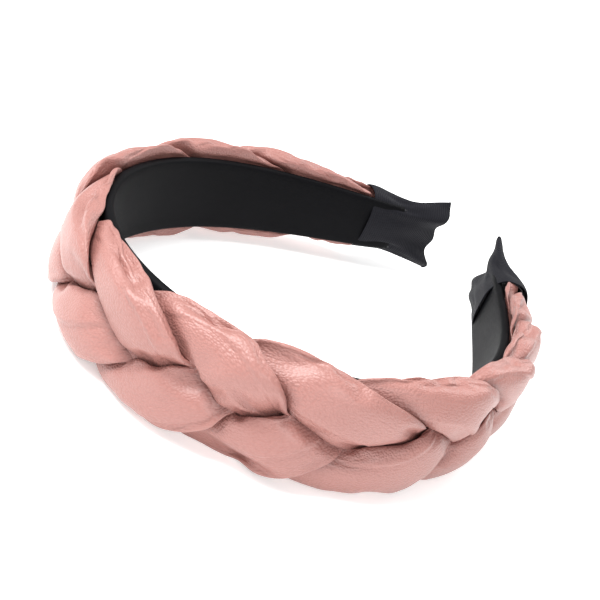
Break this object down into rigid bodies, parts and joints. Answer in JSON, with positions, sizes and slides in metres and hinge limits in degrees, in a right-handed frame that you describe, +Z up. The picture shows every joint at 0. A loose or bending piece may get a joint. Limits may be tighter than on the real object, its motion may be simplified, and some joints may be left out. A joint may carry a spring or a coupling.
{
  "type": "headband",
  "caption": "Hair band with a plump plaited faux leather cover on a sprung, satin-sleeved hoop, its ends wrapped in ribbon with flat flared tails.",
  "frame": {"origin": "centre of the bounding box in X and Y, at the height of the surface that the band's lower stitches rest on", "axes": "the band lies on its edge: -Y towards the crown, +Y towards the two open ends, X from the left leg (-X) to the right leg (+X), +Z up across the band's width"},
  "size_m": [0.1309, 0.1624, 0.0308],
  "materials": {
    "braid_leather": "soft satin, fine grain, dusty pink",
    "black_satin": "low sheen satin weave",
    "black_ribbon": "matte, finely ribbed",
    "black_thread": "matte twisted thread",
    "hoop_plastic": "moulded, matte",
    "glue": "clear amber contact glue"
  },
  "bodies": {
    "left_half": {"strip_left": "hoop_plastic", "satin_sleeve_left": "black_satin", "glue_film_left": "glue", "strand_1_left": "braid_leather", "strand_2_left": "braid_leather", "strand_3_left": "braid_leather", "binding_thread_left": "black_thread", "end_wrap_left": "black_ribbon"},
    "right_half": {"strip_right": "hoop_plastic", "satin_sleeve_right": "black_satin", "glue_film_right": "glue", "strand_1_right": "braid_leather", "strand_2_right": "braid_leather", "strand_3_right": "braid_leather", "binding_thread_right": "black_thread", "end_wrap_right": "black_ribbon"}
  },
  "joints": [
    {"name": "crown_flex", "type": "hinge", "parent": "left_half", "child": "right_half", "pos_m": [0, -0.06931, 0.01538], "axis": [0, 0, -1], "range_deg": [0, 36], "stiffness_Nm_per_rad": 0.5, "deforming": ["strand_1_left", "strand_1_right", "strand_2_left", "strand_2_right", "strand_3_left", "strand_3_right"]}
  ]
}
